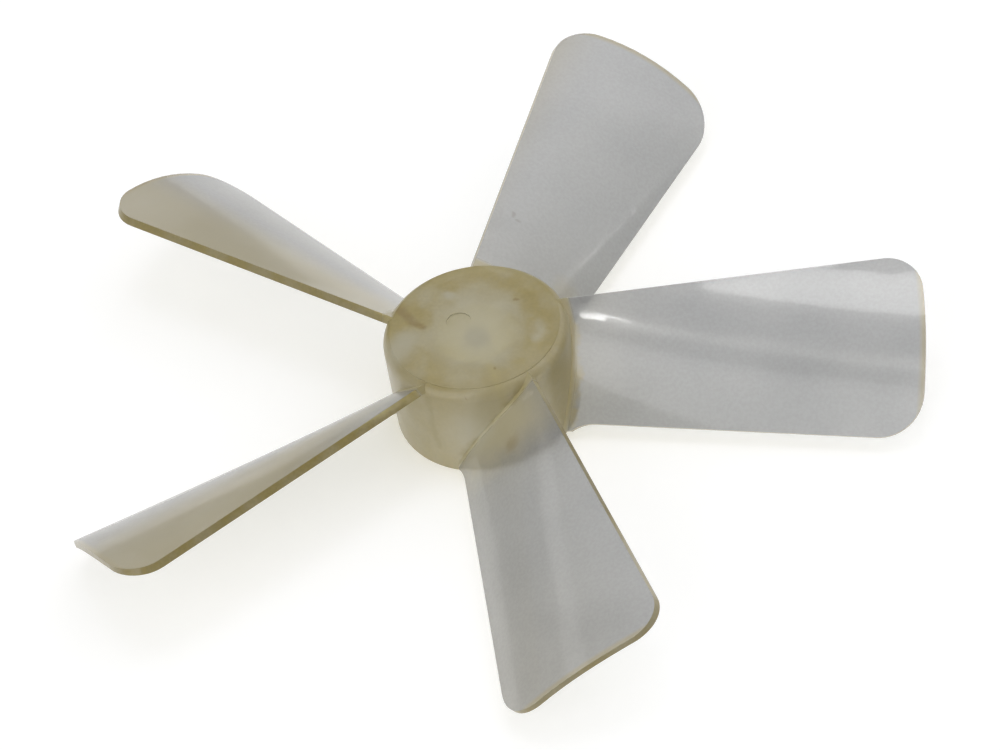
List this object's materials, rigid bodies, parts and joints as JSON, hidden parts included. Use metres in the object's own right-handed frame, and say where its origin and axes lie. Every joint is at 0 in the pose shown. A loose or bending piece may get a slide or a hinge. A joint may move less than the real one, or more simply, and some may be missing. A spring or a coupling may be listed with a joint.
{
  "type": "axial fan impeller",
  "caption": "Moulded translucent plastic axial fan impeller with twisted blades on a cupped hub that presses onto a small motor's shaft.",
  "frame": {"origin": "mouth of the shaft bore on the axis of rotation, level with the hub's rear rim", "axes": "+Z along the axis of rotation towards the closed nose, +X along the middle line of one blade; the shaft enters from -Z"},
  "size_m": [0.0949, 0.098, 0.0126],
  "materials": {
    "aged_plastic": "translucent, slightly yellowed with age, smooth moulded surface"
  },
  "bodies": {
    "root": {"impeller": "aged_plastic"}
  },
  "joints": []
}
